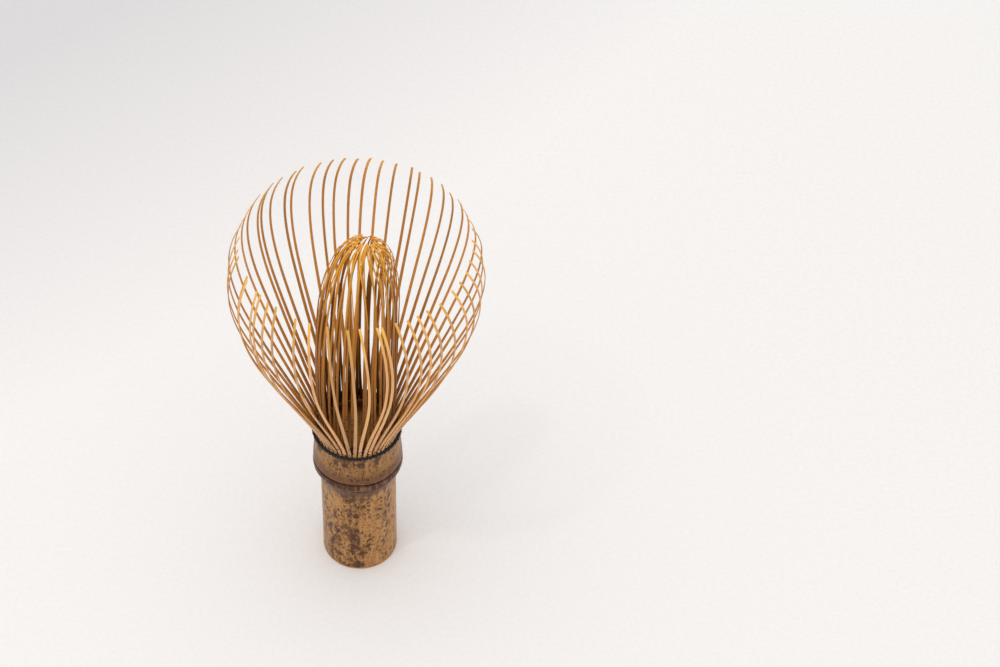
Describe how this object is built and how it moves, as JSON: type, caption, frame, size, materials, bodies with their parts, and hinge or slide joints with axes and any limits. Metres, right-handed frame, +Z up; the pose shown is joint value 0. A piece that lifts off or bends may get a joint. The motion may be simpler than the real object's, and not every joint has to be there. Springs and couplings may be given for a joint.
{
  "type": "bamboo tea whisk",
  "caption": "Bamboo tea whisk: a short spotted culm handle with a node ring, split above a black thread into a flared basket of curled tines around a closed inner cage.",
  "frame": {"origin": "centre of the foot, the cut lower end of the handle, on the surface the handle stands on", "axes": "+Z up along the handle towards the tines; the inner cage's top leans towards +X"},
  "size_m": [0.0648, 0.0651, 0.1206],
  "materials": {
    "culm": "spotted smoked bamboo skin, satin, with a dark brown node ring",
    "outer_tine": "split bamboo, tan outside and orange brown inside, golden at the shaved tips",
    "inner_tine": "split bamboo, golden brown with olive shade",
    "thread": "black twisted cotton thread"
  },
  "bodies": {
    "root": {"culm": "culm", "lower_thread": "thread"},
    "cage": {"upper_thread": "thread", "inner_tines_1": "inner_tine", "inner_tines_2": "inner_tine", "inner_tines_3": "inner_tine", "inner_tines_4": "inner_tine"},
    "group_01": {"outer_tine_01": "outer_tine", "outer_tine_02": "outer_tine", "outer_tine_03": "outer_tine", "outer_tine_04": "outer_tine"},
    "group_02": {"outer_tine_05": "outer_tine", "outer_tine_06": "outer_tine", "outer_tine_07": "outer_tine", "outer_tine_08": "outer_tine"},
    "group_03": {"outer_tine_09": "outer_tine", "outer_tine_10": "outer_tine", "outer_tine_11": "outer_tine", "outer_tine_12": "outer_tine"},
    "group_04": {"outer_tine_13": "outer_tine", "outer_tine_14": "outer_tine", "outer_tine_15": "outer_tine", "outer_tine_16": "outer_tine"},
    "group_05": {"outer_tine_17": "outer_tine", "outer_tine_18": "outer_tine", "outer_tine_19": "outer_tine", "outer_tine_20": "outer_tine"},
    "group_06": {"outer_tine_21": "outer_tine", "outer_tine_22": "outer_tine", "outer_tine_23": "outer_tine", "outer_tine_24": "outer_tine"},
    "group_07": {"outer_tine_25": "outer_tine", "outer_tine_26": "outer_tine", "outer_tine_27": "outer_tine", "outer_tine_28": "outer_tine"},
    "group_08": {"outer_tine_29": "outer_tine", "outer_tine_30": "outer_tine", "outer_tine_31": "outer_tine", "outer_tine_32": "outer_tine"},
    "group_09": {"outer_tine_33": "outer_tine", "outer_tine_34": "outer_tine", "outer_tine_35": "outer_tine", "outer_tine_36": "outer_tine"},
    "group_10": {"outer_tine_37": "outer_tine", "outer_tine_38": "outer_tine", "outer_tine_39": "outer_tine", "outer_tine_40": "outer_tine"},
    "group_11": {"outer_tine_41": "outer_tine", "outer_tine_42": "outer_tine", "outer_tine_43": "outer_tine", "outer_tine_44": "outer_tine"},
    "group_12": {"outer_tine_45": "outer_tine", "outer_tine_46": "outer_tine", "outer_tine_47": "outer_tine", "outer_tine_48": "outer_tine"},
    "group_13": {"outer_tine_49": "outer_tine", "outer_tine_50": "outer_tine", "outer_tine_51": "outer_tine", "outer_tine_52": "outer_tine"}
  },
  "joints": [
    {"name": "cage_sway", "type": "hinge", "parent": "root", "child": "cage", "pos_m": [0, 0, 0.0486], "axis": [0, 1, 0], "range_deg": [-2.5, 2.5], "stiffness_Nm_per_rad": 0.1},
    {"name": "group_01_flex", "type": "hinge", "parent": "root", "child": "group_01", "pos_m": [0.01051, 0.00174, 0.0486], "axis": [-0.1631, 0.9866, 0], "range_deg": [-4, 8], "stiffness_Nm_per_rad": 0.008},
    {"name": "group_02_flex", "type": "hinge", "parent": "root", "child": "group_02", "pos_m": [0.0085, 0.00642, 0.0486], "axis": [-0.6029, 0.7978, 0], "range_deg": [-4, 8], "stiffness_Nm_per_rad": 0.008},
    {"name": "group_03_flex", "type": "hinge", "parent": "root", "child": "group_03", "pos_m": [0.00454, 0.00963, 0.0486], "axis": [-0.9046, 0.4263, 0], "range_deg": [-4, 8], "stiffness_Nm_per_rad": 0.008},
    {"name": "group_04_flex", "type": "hinge", "parent": "root", "child": "group_04", "pos_m": [-0.00046, 0.01064, 0.0486], "axis": [-0.9991, -0.0429, 0], "range_deg": [-4, 8], "stiffness_Nm_per_rad": 0.008},
    {"name": "group_05_flex", "type": "hinge", "parent": "root", "child": "group_05", "pos_m": [-0.00535, 0.00921, 0.0486], "axis": [-0.8647, -0.5023, 0], "range_deg": [-4, 8], "stiffness_Nm_per_rad": 0.008},
    {"name": "group_06_flex", "type": "hinge", "parent": "root", "child": "group_06", "pos_m": [-0.00902, 0.00567, 0.0486], "axis": [-0.5322, -0.8466, 0], "range_deg": [-4, 8], "stiffness_Nm_per_rad": 0.008},
    {"name": "group_07_flex", "type": "hinge", "parent": "root", "child": "group_07", "pos_m": [-0.01062, 0.00083, 0.0486], "axis": [-0.0778, -0.997, 0], "range_deg": [-4, 8], "stiffness_Nm_per_rad": 0.008},
    {"name": "group_08_flex", "type": "hinge", "parent": "root", "child": "group_08", "pos_m": [-0.00979, -0.0042, 0.0486], "axis": [0.3944, -0.9189, 0], "range_deg": [-4, 8], "stiffness_Nm_per_rad": 0.008},
    {"name": "group_09_flex", "type": "hinge", "parent": "root", "child": "group_09", "pos_m": [-0.00671, -0.00827, 0.0486], "axis": [0.7763, -0.6304, 0], "range_deg": [-4, 8], "stiffness_Nm_per_rad": 0.008},
    {"name": "group_10_flex", "type": "hinge", "parent": "root", "child": "group_10", "pos_m": [-0.0021, -0.01044, 0.0486], "axis": [0.9803, -0.1974, 0], "range_deg": [-4, 8], "stiffness_Nm_per_rad": 0.008},
    {"name": "group_11_flex", "type": "hinge", "parent": "root", "child": "group_11", "pos_m": [0.00299, -0.01022, 0.0486], "axis": [0.9598, 0.2808, 0], "range_deg": [-4, 8], "stiffness_Nm_per_rad": 0.008},
    {"name": "group_12_flex", "type": "hinge", "parent": "root", "child": "group_12", "pos_m": [0.0074, -0.00766, 0.0486], "axis": [0.7193, 0.6947, 0], "range_deg": [-4, 8], "stiffness_Nm_per_rad": 0.008},
    {"name": "group_13_flex", "type": "hinge", "parent": "root", "child": "group_13", "pos_m": [0.01011, -0.00335, 0.0486], "axis": [0.3141, 0.9494, 0], "range_deg": [-4, 8], "stiffness_Nm_per_rad": 0.008}
  ]
}
